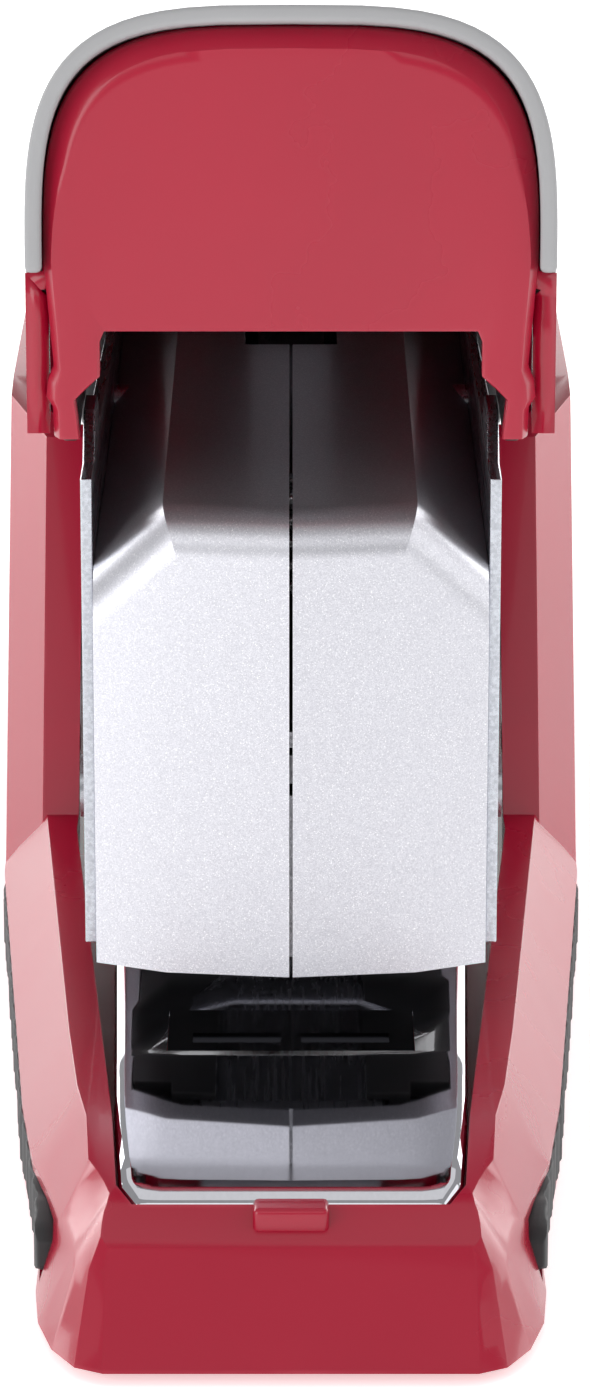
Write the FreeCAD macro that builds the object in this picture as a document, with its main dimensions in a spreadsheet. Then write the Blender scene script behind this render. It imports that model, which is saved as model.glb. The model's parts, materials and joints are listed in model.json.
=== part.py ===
"""A low-force desktop stapler: base, housing, handle, lever, striker, staple track and pusher.

The frame: X across, -Y to the nose, +Z up. The origin is under the middle of the base.
"""

import FreeCAD, Part
import math
import os
import re
import Sketcher
from FreeCAD import Placement, Rotation, Vector

SIZES = {
    # base in plan: half widths and where they are reached
    "half_length": 84,
    "toe_half": 12,
    "front_half": 16.9,
    "waist_half": 18.7,
    "middle_half": 22.5,
    "tail_half": 18,
    "toe_side_y": -71,
    "front_y": -66,
    "crease_y": -61,
    "crease_half": 17.45,
    "waist_y": -50,
    "wide_y": 20,
    "taper_y": 72,
    # base in height
    "foot_stand": 0.8,
    "side_top": 6,
    "rim_top": 11.6,
    "toe_run": 9,
    "facet_width": 3.3,
    "toe_facet_half": 13.67,
    "toe_splay": 0.195,
    "toe_lean": 0.461,
    "toe_top": 6.9,
    "toe_y": -79.2,
    "lip_top": 9,
    "lip_y": -75.6,
    "floor_top": 3.2,
    # tray opening in the base
    "tray_front_half": 10.3,
    "tray_corner_half": 11.4,
    "tray_half": 11.9,
    "throat_gap": 2.15,
    # rear walls of the base
    "wall_foot_y": -6.4,
    "wall_lean": 20,
    "wall_foot_z": 5.5,
    "wall_height": 35.5,
    "strip_width": 3,
    "facet_depth": 8,
    "side_wall": 1.6,
    "side_gap": 0.4,
    "wall_thick": 2.4,
    "strip_top": 38.1,
    "shoulder_y": 25,
    "shoulder_top": 40,
    "shoulder_back_y": 56,
    "tail_top": 10.5,
    # steel plate
    "plate_top": 11.8,
    "plate_thick": 1.2,
    "plate_fall_y": -56,
    "plate_fall": 1.4,
    "plate_bend_y": -72,
    "plate_rear_y": 24,
    "plate_gap": 0.15,
    "plate_side_gap": 2.7,
    # anvil
    "anvil_half": 8.5,
    "anvil_front_y": -55,
    "anvil_rear_y": -47,
    "anvil_deep": 2.6,
    "groove_deep": 0.5,
    # grips and feet
    "grip_thick": 1.2,
    "grip_proud": 0.25,
    "grip_low": 1.6,
    "grip_high": 5.4,
    "foot_inset": 0.6,
    "foot_half": 12,
    "foot_long": 11,
    "front_foot_y": -70,
    "rear_foot_y": 52,
    # rear bracket and body pivot
    "pivot_y": 60,
    "pivot_z": 30,
    "pin_radius": 2,
    "run_gap": 0.05,
    "ear_gap": 0.85,
    "ear_thick": 1.5,
    "ear_spread": 11,
    "pin_head": 0.7,
    "ear_radius": 5,
    "bracket_thick": 1.2,
    "bracket_front_y": 44,
    # housing
    "nose_y": -56,
    "nose_bottom": 17.5,
    "nose_top": 49.8,
    "nose_flat_half": 8.5,
    "nose_half": 13.3,
    "nose_shoulder": 45,
    "shell_wall": 1.6,
    "roof_thick": 2,
    "shell_rear_y": 52,
    "seam_gap": 0.12,
    "frame_thick": 0.8,
    "frame_front_y": -50.4,
    "frame_low": 18,
    "frame_top": 51,
    "horn_top": 54,
    "frame_rear_y": 75,
    "horn_y": -41,
    # track, staples and pusher
    "track_half": 5.75,
    "track_wall": 0.8,
    "track_bottom": 18.2,
    "track_top": 24.2,
    "track_front_y": -51.7,
    "track_rear_y": 66,
    "staple_wire": 0.5,
    "staple_gap": 0.1,
    "strip_length": 47.7,
    "rod_radius": 1,
    "rod_height": 21.6,
    "pusher_length": 11.5,
    "pull_half": 8,
    "pull_rear_y": 80,
    "guide_gap": 0.35,
    "guide_wall": 1.5,
    "guide_ceiling": 27.4,
    # striker and lever
    "striker_front_y": -53,
    "striker_thick": 1,
    "striker_gap": 0.05,
    "striker_low": 17.9,
    "striker_high": 34,
    "lever_y": -18,
    "lever_z": 38,
    "lever_half": 2.5,
    "lever_tip_y": -52.5,
    "lever_tip_z": 31.2,
    "lever_end_y": 4,
    "lever_end_z": 48.5,
    "lever_pin_radius": 1.5,
    # handle
    "handle_front_y": -57,
    "handle_top": 83.95,
    "handle_rear_top": 49.45,
    "handle_gap": 1.45,
    "skirt_gap": 2,
    "tail_gap": 0.5,
    "handle_full_y": 23,
    "handle_rear_y": 80,
    "handle_wall": 1.6,
    "handle_roof": 3.4,
    "leg_drop": 28.15,
    "flank_bottom": 49,
    "skirt_front_y": 26,
    "skirt_bottom": 32,
    "hinge_y": 68,
    "hinge_z": 41,
    "pad_thick": 1.6,
    "pad_front_y": -59.2,
    "pad_rear_y": -18,
    "pad_drop": 17.35,
    "stiffener_half": 7,
    "stiffener_thick": 1.2,
    "stiffener_rear_y": 24,
    "face_thick": 1.6,
    "leg_width": 4.4,
    "face_open_drop": 20.95,
    # fasteners and springs
    "screw_radius": 1.5,
    "screw_head": 2.5,
    "side_screw_radius": 1.2,
    "side_screw_head": 2.2,
    "base_screw_half": 9,
    "front_screw_y": -40,
    "front_screw_z": 26,
    "rear_screw_y": 44,
    "rear_screw_z": 38,
    "roof_screw_y": -4,
    "roof_screw_z": 45,
    "fit_gap": 0.05,
    "press_gap": 0.02,
    "heavy_wire": 0.6,
    "middle_wire": 0.45,
    "fine_wire": 0.3,
    "lift_spring_y": 34,
    "spring_ledge": 0.25,
    "power_spring_run": 18,
    "power_spring_radius": 4,
    "handle_spring_y": 30,
    "handle_spring_radius": 3.4,
    "pusher_spring_radius": 1.8,
}

doc = FreeCAD.newDocument("stapler")
sheet = doc.addObject("Spreadsheet::Sheet", "Sizes")
for row, (name, value) in enumerate(SIZES.items(), start=1):
    sheet.set(f"A{row}", name)
    sheet.set(f"B{row}", str(value))
    sheet.setAlias(f"B{row}", name)
doc.recompute()

PIECES = []


def bound(formula):
    """The formula with each size's name pointing at its cell in the sheet."""
    return re.sub(r"[a-z][a-z_]+", lambda word: f"Sizes.{word[0]}", str(formula))


def new_body(label, kept=True):
    """An empty body; a kept one is written out as a piece."""
    body = doc.addObject("PartDesign::Body", label)
    body.Label = label
    if kept:
        PIECES.append(body)
    return body


def sketch_on(body, plane, at):
    """A sketch on one of the body's origin planes, moved to a place along that plane's axis."""
    sketch = body.newObject("Sketcher::SketchObject", f"{body.Label}_sketch")
    origin = next(f for f in body.Origin.OriginFeatures if f.Role == plane)
    sketch.AttachmentSupport = [(origin, "")]
    sketch.MapMode = "FlatFace"
    turned = -1 if plane == "XZ_Plane" else 1
    sketch.setExpression("AttachmentOffset.Base.z", bound(f"{turned} * ({at})"))
    return sketch


def fix_point(sketch, edge, point, across, up):
    """Two driving distances from the origin to one point of the sketch."""
    for kind, formula in (("DistanceX", across), ("DistanceY", up)):
        index = sketch.addConstraint(Sketcher.Constraint(kind, -1, 1, edge, point, 1.0))
        sketch.setExpression(f"Constraints[{index}]", bound(formula))


def draw_polygon(sketch, corners):
    """A closed outline through corners, each a pair of formulas."""
    count = len(corners)
    turns = [2 * math.pi * n / count for n in range(count)]
    ring = [Vector(math.cos(turn), math.sin(turn)) for turn in turns]
    for n in range(count):
        sketch.addGeometry(Part.LineSegment(ring[n], ring[(n + 1) % count]))
    for n in range(count):
        sketch.addConstraint(Sketcher.Constraint("Coincident", n, 2, (n + 1) % count, 1))
    for n, (across, up) in enumerate(corners):
        fix_point(sketch, n, 1, across, up)


def draw_circle(sketch, across, up, radius):
    """A circle whose middle and radius are formulas."""
    sketch.addGeometry(Part.Circle(Vector(0, 0), Vector(0, 0, 1), 1))
    fix_point(sketch, 0, 3, across, up)
    index = sketch.addConstraint(Sketcher.Constraint("Radius", 0, 1.0))
    sketch.setExpression(f"Constraints[{index}]", bound(radius))


def extrude(body, plane, low, high, draw, cut):
    """A Pad or a Pocket between two places along the plane's axis."""
    sketch = sketch_on(body, plane, high if plane == "XZ_Plane" else low)
    draw(sketch)
    feature = body.newObject("PartDesign::Pocket" if cut else "PartDesign::Pad", f"{body.Label}_step")
    feature.Profile = sketch
    feature.Reversed = cut
    feature.setExpression("Length", bound(f"({high}) - ({low})"))
    return feature


def add(body, plane, corners, low, high):
    return extrude(body, plane, low, high, lambda sketch: draw_polygon(sketch, corners), False)


def cut(body, plane, corners, low, high):
    return extrude(body, plane, low, high, lambda sketch: draw_polygon(sketch, corners), True)


def add_rod(body, plane, middle, radius, low, high):
    return extrude(body, plane, low, high, lambda sketch: draw_circle(sketch, *middle, radius), False)


def bore(body, plane, middle, radius, low, high):
    return extrude(body, plane, low, high, lambda sketch: draw_circle(sketch, *middle, radius), True)


def loft(body, plane, sections, cut_away=False):
    """A ruled loft through outlines at places along the plane's axis."""
    sketches = []
    for at, corners in sections:
        sketch = sketch_on(body, plane, at)
        draw_polygon(sketch, corners)
        sketches.append(sketch)
    kind = "PartDesign::SubtractiveLoft" if cut_away else "PartDesign::AdditiveLoft"
    feature = body.newObject(kind, f"{body.Label}_loft")
    feature.Profile = sketches[0]
    feature.Sections = sketches[1:]
    feature.Ruled = True
    return feature


def both_sides(half):
    """An outline given from its front or foot on the +X side, closed by its mirror image."""
    mirror = [(f"-({across})", up) for across, up in reversed(half)]
    return list(half) + mirror


def rectangle(left, right, low, high):
    return [(left, low), (right, low), (right, high), (left, high)]


def sided(side, inner, outer):
    """The two places along X, low first, of a layer on one side."""
    return (inner, outer) if side > 0 else (f"-({outer})", f"-({inner})")


def on_side(side, corners):
    return [(f"{side} * ({across})", up) for across, up in corners]


def boolean(kind, label, base, tool, kept=True):
    """A Part boolean of two solids."""
    result = doc.addObject(kind, label)
    result.Label = label
    result.Base = base
    result.Tool = tool
    if kept:
        PIECES.append(result)
    return result


def coil(label, middle, low, high, radius, wire, turns, along_y=False):
    """A coil spring whose axis runs up, or back along Y."""
    body = new_body(label)
    sketch = sketch_on(body, "XZ_Plane", 0)
    draw_circle(sketch, radius, wire, wire)
    spring = body.newObject("PartDesign::AdditiveHelix", f"{label}_turns")
    spring.Profile = sketch
    spring.ReferenceAxis = (sketch, ["V_Axis"])
    spring.Mode = "height-turns-growth"
    spring.setExpression("Height", bound(f"({high}) - ({low}) - 2 * ({wire})"))
    spring.Turns = turns
    tilt = Rotation(Vector(1, 0, 0), -90) if along_y else Rotation()
    body.Placement = Placement(Vector(), tilt)
    across, other = middle
    start = {"x": across, "y": low, "z": other} if along_y else {"x": across, "y": other, "z": low}
    for axis, formula in start.items():
        body.setExpression(f"Placement.Base.{axis}", bound(formula))
    return body


# Places that several pieces share, each worked out from the sizes.

FRAME_INNER = "(nose_half + fit_gap)"
FRAME_OUTER = "(nose_half + fit_gap + frame_thick)"
EAR_INNER = f"({FRAME_OUTER} + ear_gap)"
EAR_OUTER = f"({EAR_INNER} + ear_thick)"
THROAT_HALF = f"({FRAME_OUTER} + throat_gap)"
STRIP_HALF = f"({THROAT_HALF} + strip_width)"
PLATE_REAR_HALF = f"({THROAT_HALF} - plate_side_gap)"
STAPLE_HALF = "(track_half + staple_gap + staple_wire)"
PUSHER_HALF = f"({STAPLE_HALF} + staple_gap)"
GUIDE_INNER = f"({PUSHER_HALF} + guide_gap)"
STRIKER_HALF = f"({STAPLE_HALF} - striker_gap)"
STRIP_REAR = "(track_front_y + strip_length)"
HANDLE_HALF = f"({FRAME_OUTER} + handle_gap + handle_wall)"
HANDLE_REAR_HALF = f"({EAR_OUTER} + pin_head + skirt_gap + handle_wall)"
HANDLE_TAIL_HALF = f"({EAR_OUTER} + tail_gap)"
WALL_INNER = f"({HANDLE_REAR_HALF} + side_gap)"
WIDE_HALF = f"({WALL_INNER} + side_wall)"
LEG_BOTTOM = "(handle_top - leg_drop)"
PAD_TIP = "(handle_top - pad_drop)"

FOOT_PLACES = [(y, f"{y} + foot_long") for y in ("front_foot_y", "rear_foot_y")]
BASE_SCREWS = [(across, along) for along in ("bracket_front_y + 3.5", "taper_y - 3")
               for across in ("-base_screw_half", "base_screw_half")]
SIDE_SCREWS = [(f"{place}_screw_y", f"{place}_screw_z") for place in ("front", "rear", "roof")]
PIVOTS = [("pivot_y", "pivot_z"), ("hinge_y", "hinge_z")]

# Cuts that go right through run out to these, past every piece.
ACROSS = ("-30", "30")
FAR_OUT = "30"
FAR_UP = "100"
FAR_DOWN = "-5"


# The base.

SIDES = [("front_half", "front_y"), ("crease_half", "crease_y"), ("waist_half", "waist_y"),
         ("middle_half", "0"),
         (WIDE_HALF, "wide_y"), (WIDE_HALF, "taper_y"), ("tail_half", "half_length")]
WALL_SLOPE = "wall_lean / wall_height"
BASE_FLOOR = "foot_stand"


def wall_front(height):
    """Where the front of the rear walls stands at a height."""
    return f"(wall_foot_y + (({height}) - wall_foot_z) * {WALL_SLOPE})"


def quarter(start, end, steps):
    """Points of a rounded corner that leaves start across the front and reaches end along the side."""
    turns = [math.pi / 2 * step / steps for step in range(steps + 1)]
    return [(f"({start[0]} + ({end[0]} - {start[0]}) * {math.sin(turn):.4f})",
             f"({start[1]} + ({end[1]} - ({start[1]})) * {1 - math.cos(turn):.4f})") for turn in turns]


def toe_side(y, z):
    """Half the width of the toe's leaning side, which falls away to the front."""
    return f"(toe_facet_half + ({y} - front_y) * toe_splay - ({z} - rim_top) * toe_lean)"


def leaning_corner(z, back, inset):
    """The toe's rounded corner at a height, as far as the end of its leaning side."""
    front = f"(-half_length + toe_run * ({z} - foot_stand) / (rim_top - foot_stand))"
    side_y = f"{front} + {back}"
    corner = quarter((f"toe_half - {inset}", front), (toe_side(side_y, z), side_y), 3)
    return corner + [(toe_side(y, z), y) for y in ("toe_side_y", "front_y")]


def slab_sections():
    low = quarter(("toe_half", "-half_length"), ("front_half", "toe_side_y"), 4) + SIDES
    middle = leaning_corner("side_top", 3.7, 0.1) + SIDES[1:]
    inset = [(f"{half} - facet_width", y) for half, y in SIDES[2:-1]]
    top = (leaning_corner("rim_top", 1.6, 1) + [("crease_half - facet_width + 0.25", "crease_y")] + inset
           + [("tail_half - facet_width", "half_length - 2")])
    return [(BASE_FLOOR, both_sides(low)), ("side_top", both_sides(middle)), ("rim_top", both_sides(top))]


def wall_section(height):
    front = wall_front(height)
    return both_sides([(STRIP_HALF, front), (f"{WIDE_HALF} - 0.3", f"{front} + facet_depth"),
                       (WIDE_HALF, "taper_y"), ("tail_half", "half_length")])


def cavity_section(height):
    front = f"{wall_front(height)} + wall_thick"
    return both_sides([(f"{STRIP_HALF} - 1.1", front), (WALL_INNER, f"{front} + facet_depth"),
                       (WALL_INNER, "taper_y - 0.5"), ("tail_half - 1", "half_length - 1.8")])


def grip_outline(side, outward, inward):
    """A strip that follows the side of the base in plan."""
    sides = [("front_half", "toe_side_y"), ("front_half", "front_y"), ("waist_half", "waist_y"),
             ("middle_half - 0.3", "-4"), ("middle_half", "2")]
    outer = [(f"{half} + ({outward})", y) for half, y in sides]
    inner = [(f"{half} - ({inward})", y) for half, y in reversed(sides)]
    return on_side(side, outer + inner)


def make_base_shell():
    body = new_body("base_shell")
    loft(body, "XY_Plane", slab_sections())
    wall_low = "wall_foot_z"
    wall_high = "wall_foot_z + wall_height"
    loft(body, "XY_Plane", [(wall_low, wall_section(wall_low)), (wall_high, wall_section(wall_high))])
    nose_cut = [("-half_length - 6", "toe_top - 0.7"), ("toe_y", "toe_top"), ("lip_y", "lip_top"),
                ("front_y", "rim_top + 0.1"), ("front_y", FAR_UP), ("-half_length - 6", FAR_UP)]
    cut(body, "YZ_Plane", nose_cut, *ACROSS)
    tail_cut = [("-12", "strip_top - 0.5"), ("12", "strip_top"), ("shoulder_y", "shoulder_top"),
                ("shoulder_back_y", "shoulder_top"), ("half_length - 18", "34"),
                ("half_length - 5", "tail_top + 2.5"), ("half_length", "tail_top"),
                ("half_length + 6", "tail_top"), ("half_length + 6", FAR_UP), ("-12", FAR_UP)]
    cut(body, "YZ_Plane", tail_cut, *ACROSS)
    low, high = "floor_top", "wall_foot_z + wall_height + 5"
    loft(body, "XY_Plane", [(low, cavity_section(low)), (high, cavity_section(high))], cut_away=True)
    tray = both_sides([("tray_front_half", "lip_y"), ("tray_corner_half", "lip_y + 2"),
                       ("tray_half", "front_y"), (f"{THROAT_HALF} + 0.2", "wall_foot_y"),
                       (THROAT_HALF, "lift_spring_y - 4")])
    cut(body, "XY_Plane", tray, "floor_top", FAR_UP)
    for side in (-1, 1):
        groove = grip_outline(side, "1", "grip_thick")
        cut(body, "XY_Plane", groove, "grip_low - fit_gap", "grip_high + fit_gap")
    for front, rear in FOOT_PLACES:
        cut(body, "XY_Plane", rectangle("-foot_half", "foot_half", front, rear),
            FAR_DOWN, "foot_stand + foot_inset")
    for across, along in BASE_SCREWS:
        bore(body, "XY_Plane", (across, along), "screw_radius + run_gap", FAR_DOWN, "floor_top + 1")
        bore(body, "XY_Plane", (across, along), "screw_head + run_gap", FAR_DOWN, "foot_stand + 1.2")


def make_feet():
    for label, (front, rear) in zip(("front_foot", "rear_foot"), FOOT_PLACES):
        body = new_body(label)
        outline = rectangle("-foot_half + fit_gap", "foot_half - fit_gap",
                            f"{front} + fit_gap", f"{rear} - fit_gap")
        add(body, "XY_Plane", outline, "0", "foot_stand + foot_inset")


def make_grips():
    for label, side in (("left_grip", -1), ("right_grip", 1)):
        body = new_body(label)
        outline = grip_outline(side, "grip_proud", "grip_thick - fit_gap")
        add(body, "XY_Plane", outline, "grip_low", "grip_high")


PLATE_SIDES = [("tray_front_half - plate_gap", "lip_y + plate_gap"),
               ("tray_corner_half - plate_gap", "lip_y + 2"),
               ("tray_half - plate_gap", "front_y"),
               (PLATE_REAR_HALF, "wall_foot_y"), (PLATE_REAR_HALF, "plate_rear_y")]


def make_base_plate():
    body = new_body("base_plate")
    top = [("plate_rear_y", "plate_top"), ("plate_fall_y", "plate_top"),
           ("plate_bend_y", "plate_top - plate_fall"),
           ("plate_bend_y - 1.6", "plate_top - plate_fall - 0.55"),
           ("lip_y + 0.6", "lip_top + 0.2"), ("lip_y + plate_gap", "lip_top - 0.3")]
    under = [(y, f"{z} - plate_thick") for y, z in reversed(top)]
    add(body, "YZ_Plane", top + under, f"-{PLATE_REAR_HALF}", PLATE_REAR_HALF)
    for side in (-1, 1):
        outside = PLATE_SIDES[:4] + [(FAR_OUT, "wall_foot_y"), (FAR_OUT, "lip_y - 2"),
                                     ("tray_front_half - plate_gap", "lip_y - 2")]
        cut(body, "XY_Plane", on_side(side, outside), FAR_DOWN, FAR_UP)
        outer = PLATE_SIDES[2:]
        inner = [(f"{half} - 1", y) for half, y in reversed(outer)]
        add(body, "XY_Plane", on_side(side, outer + inner), "floor_top", "plate_top - plate_thick")
    hole = rectangle("-anvil_half", "anvil_half", "anvil_front_y", "anvil_rear_y")
    cut(body, "XY_Plane", hole, FAR_DOWN, FAR_UP)


def make_anvil():
    body = new_body("anvil")
    block = rectangle("-anvil_half + fit_gap", "anvil_half - fit_gap",
                      "anvil_front_y + fit_gap", "anvil_rear_y - fit_gap")
    add(body, "XY_Plane", block, "plate_top - anvil_deep", "plate_top")
    for side in (-1, 1):
        groove = rectangle("0.7", "track_half + 1", "striker_front_y - 0.4", "striker_front_y + 1.4")
        cut(body, "XY_Plane", on_side(side, groove), "plate_top - groove_deep", FAR_UP)


def make_base_screws():
    body = new_body("base_screws")
    for across, along in BASE_SCREWS:
        add_rod(body, "XY_Plane", (across, along), "screw_head", "foot_stand + 0.2", "foot_stand + 1.2")
        add_rod(body, "XY_Plane", (across, along), "screw_radius", "foot_stand + 1", "floor_top + 2.2")


def make_base_bracket():
    body = new_body("base_bracket")
    foot = rectangle(f"-{EAR_OUTER}", EAR_OUTER, "bracket_front_y", "taper_y")
    add(body, "XY_Plane", foot, "floor_top", "floor_top + bracket_thick")
    ear = [("pivot_y - ear_spread", "floor_top"), ("pivot_y + ear_spread", "floor_top"),
           ("pivot_y + ear_radius", "pivot_z + 1"), ("pivot_y + 2", "pivot_z + ear_radius"),
           ("pivot_y - 2", "pivot_z + ear_radius"), ("pivot_y - ear_radius", "pivot_z + 1")]
    for side in (-1, 1):
        low, high = sided(side, EAR_INNER, EAR_OUTER)
        add(body, "YZ_Plane", ear, low, high)
    bore(body, "YZ_Plane", ("pivot_y", "pivot_z"), "pin_radius + press_gap", *ACROSS)
    for across, along in BASE_SCREWS:
        bore(body, "XY_Plane", (across, along), "screw_radius + press_gap", FAR_DOWN, "pivot_z")


def make_body_pin():
    body = new_body("body_pivot_pin")
    head = f"{EAR_OUTER} + pin_head"
    add_rod(body, "YZ_Plane", ("pivot_y", "pivot_z"), "pin_radius", f"-({head})", head)
    for side in (-1, 1):
        low, high = sided(side, f"{EAR_OUTER} + press_gap", head)
        add_rod(body, "YZ_Plane", ("pivot_y", "pivot_z"), "pin_radius + 1", low, high)


# The housing.

def make_housing_shell(label, side):
    body = new_body(label)
    outline = [("seam_gap", "nose_y"), ("nose_flat_half", "nose_y + 1"), ("nose_half", "nose_y + 3"),
               ("nose_half", "shell_rear_y"), ("seam_gap", "shell_rear_y")]
    add(body, "XY_Plane", on_side(side, outline), "nose_bottom", "nose_top")
    shoulder = [("nose_half + 0.1", "nose_shoulder"), ("nose_flat_half", "nose_top + 0.1"),
                ("nose_flat_half", FAR_UP), (FAR_OUT, FAR_UP), (FAR_OUT, "nose_shoulder")]
    cut(body, "XZ_Plane", on_side(side, shoulder), "nose_y - 2", "shell_rear_y + 2")
    chamber = [("-1", "nose_y + 2.1"), ("nose_flat_half - 1", "nose_y + 2.8"),
               ("nose_half - shell_wall", "nose_y + 5"),
               ("nose_half - shell_wall", "shell_rear_y - shell_wall"),
               ("-1", "shell_rear_y - shell_wall")]
    cut(body, "XY_Plane", on_side(side, chamber), "nose_bottom - 1", "nose_shoulder - roof_thick")
    upper = [("-1", "nose_y + 2.1"), ("nose_flat_half - 1.4", "nose_y + 2.8"),
             ("nose_flat_half - 1.4", "shell_rear_y - shell_wall"), ("-1", "shell_rear_y - shell_wall")]
    cut(body, "XY_Plane", on_side(side, upper), "nose_shoulder - roof_thick - 1", "nose_top - roof_thick")
    slot = rectangle("-1", "lever_half + 1", "lever_end_y - 10", "lever_end_y + 9")
    cut(body, "XY_Plane", on_side(side, slot), "nose_top - roof_thick - 1", "nose_top + 1")
    mouth = rectangle("-1", f"{GUIDE_INNER} + 0.6", "shell_rear_y - 4", "shell_rear_y + 1")
    cut(body, "XY_Plane", on_side(side, mouth), "nose_bottom - 1", "guide_ceiling + 0.4")
    low, high = sided(side, "nose_half - 4", "nose_half + 1")
    bore(body, "YZ_Plane", ("lever_y", "lever_z"), "lever_pin_radius + press_gap", low, high)
    for place in SIDE_SCREWS:
        bore(body, "YZ_Plane", place, "side_screw_radius + press_gap", low, high)


def make_frame(label, side):
    body = new_body(label)
    profile = [("frame_front_y", "frame_low"), ("hinge_y - 2", "frame_low"),
               ("hinge_y + 3", "frame_low + 6"),
               ("frame_rear_y", "hinge_z - 1"), ("frame_rear_y - 2", "hinge_z + 3"),
               ("shell_rear_y", "nose_top - 2"), ("lever_end_y + 16", "nose_top - 1.8"),
               ("horn_y + 11", "frame_top"), ("horn_y + 7", "frame_top"), ("horn_y + 2", "horn_top"),
               ("horn_y - 2", "horn_top"), ("horn_y - 5", "frame_top"), ("frame_front_y", "frame_top")]
    low, high = sided(side, FRAME_INNER, FRAME_OUTER)
    add(body, "YZ_Plane", profile, low, high)
    for place in PIVOTS:
        bore(body, "YZ_Plane", place, "pin_radius + run_gap", low, high)
    bore(body, "YZ_Plane", ("lever_y", "lever_z"), "lever_pin_radius + press_gap", low, high)
    for place in SIDE_SCREWS:
        bore(body, "YZ_Plane", place, "side_screw_radius + press_gap", low, high)


def make_housing_screws():
    body = new_body("housing_screws")
    for place in SIDE_SCREWS:
        for side in (-1, 1):
            low, high = sided(side, "nose_half - shell_wall", f"{FRAME_OUTER} + 0.3")
            add_rod(body, "YZ_Plane", place, "side_screw_radius", low, high)
            low, high = sided(side, f"{FRAME_OUTER} + press_gap", f"{FRAME_OUTER} + 0.6")
            add_rod(body, "YZ_Plane", place, "side_screw_head", low, high)


def make_lever_pin():
    body = new_body("lever_pin")
    low, high = f"-({FRAME_OUTER} + 0.3)", f"{FRAME_OUTER} + 0.3"
    add_rod(body, "YZ_Plane", ("lever_y", "lever_z"), "lever_pin_radius", low, high)


def make_handle_pin():
    body = new_body("handle_pin")
    low, high = f"-({HANDLE_REAR_HALF} - 0.1)", f"{HANDLE_REAR_HALF} - 0.1"
    add_rod(body, "YZ_Plane", ("hinge_y", "hinge_z"), "pin_radius", low, high)


def make_track_guide():
    body = new_body("track_guide")
    front, rear = "track_front_y + 0.1", "shell_rear_y - shell_wall - 0.1"
    outer = f"({GUIDE_INNER} + guide_wall)"
    block = rectangle(f"-{outer}", outer, "nose_bottom", "guide_ceiling + 1")
    add(body, "XZ_Plane", block, front, rear)
    ledge = rectangle("-nose_half + shell_wall + 0.1", "nose_half - shell_wall - 0.1",
                      "nose_bottom", "nose_bottom + 1.2")
    add(body, "XZ_Plane", ledge, "nose_y + 6", rear)
    channel = rectangle(f"-{GUIDE_INNER}", GUIDE_INNER, "track_bottom - 0.15", "guide_ceiling")
    cut(body, "XZ_Plane", channel, "nose_y - 2", "shell_rear_y + 2")
    slit = rectangle("-track_half + 0.5", "track_half - 0.5", "nose_bottom - 2", "track_bottom + 1")
    cut(body, "XZ_Plane", slit, "nose_y - 2", "shell_rear_y + 2")


# The track.

def make_staple_track():
    body = new_body("staple_track")
    block = rectangle("-track_half", "track_half", "track_bottom", "track_top")
    add(body, "XZ_Plane", block, "track_front_y", "track_rear_y")
    inside = rectangle("-track_half + track_wall", "track_half - track_wall",
                       "track_bottom + track_wall", "track_top + 1")
    cut(body, "XZ_Plane", inside, "track_front_y - 1", "track_rear_y + 1")


def make_staple_strip():
    body = new_body("staple_strip")
    outside = rectangle(f"-{STAPLE_HALF}", STAPLE_HALF, "track_bottom + 0.2",
                        "track_top + staple_gap + staple_wire")
    add(body, "XZ_Plane", outside, "track_front_y", STRIP_REAR)
    hollow = rectangle("-track_half - staple_gap", "track_half + staple_gap",
                       "track_bottom - 1", "track_top + staple_gap")
    cut(body, "XZ_Plane", hollow, "track_front_y - 1", f"{STRIP_REAR} + 1")


def make_spring_rod():
    body = new_body("spring_rod")
    head = rectangle("-track_half + track_wall + 0.1", "track_half - track_wall - 0.1",
                     "track_bottom + track_wall + 0.05", "track_top - 0.1")
    add(body, "XZ_Plane", head, "track_front_y + 1", "track_front_y + 3")
    add_rod(body, "XZ_Plane", ("0", "rod_height"), "rod_radius", "track_front_y + 2", "track_rear_y - 4")


def make_track_pull():
    body = new_body("track_pull")
    tab = rectangle("-pull_half", "pull_half", "nose_bottom + 0.1", "guide_ceiling - 0.9")
    add(body, "XZ_Plane", tab, "track_rear_y", "pull_rear_y")
    plug = rectangle("-track_half + track_wall + 0.05", "track_half - track_wall - 0.05",
                     "track_bottom + track_wall + 0.02", "track_top - 0.1")
    add(body, "XZ_Plane", plug, "track_rear_y - 6", "track_rear_y + 1")
    bore(body, "XZ_Plane", ("0", "rod_height"), "rod_radius + press_gap",
         "track_rear_y - 8", "track_rear_y - 2")
    for row in range(3):
        low = f"pull_rear_y - 3 - {3 * row}"
        rib = rectangle("-pull_half - 1", "pull_half + 1", "guide_ceiling - 1.6", "guide_ceiling")
        cut(body, "XZ_Plane", rib, low, f"{low} + 1.2")


def make_pusher():
    body = new_body("staple_pusher")
    front = f"{STRIP_REAR} + 0.5"
    rear = f"{front} + pusher_length"
    block = rectangle(f"-{PUSHER_HALF}", PUSHER_HALF, "track_bottom + 0.4", "guide_ceiling - 0.5")
    add(body, "XZ_Plane", block, front, rear)
    for side in (-1, 1):
        gap = rectangle("track_half - track_wall - 0.2", "track_half + 0.2",
                        "track_bottom - 1", "track_top + 0.2")
        cut(body, "XZ_Plane", on_side(side, gap), f"{front} - 1", f"{rear} + 1")
    low = rectangle("-track_half", "track_half", "track_bottom - 1", "track_bottom + track_wall + 0.4")
    cut(body, "XZ_Plane", low, f"{front} - 1", f"{rear} + 1")
    bore(body, "XZ_Plane", ("0", "rod_height"), "rod_radius + run_gap", f"{front} - 1", f"{rear} + 1")


# The striker and its lever.

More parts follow.
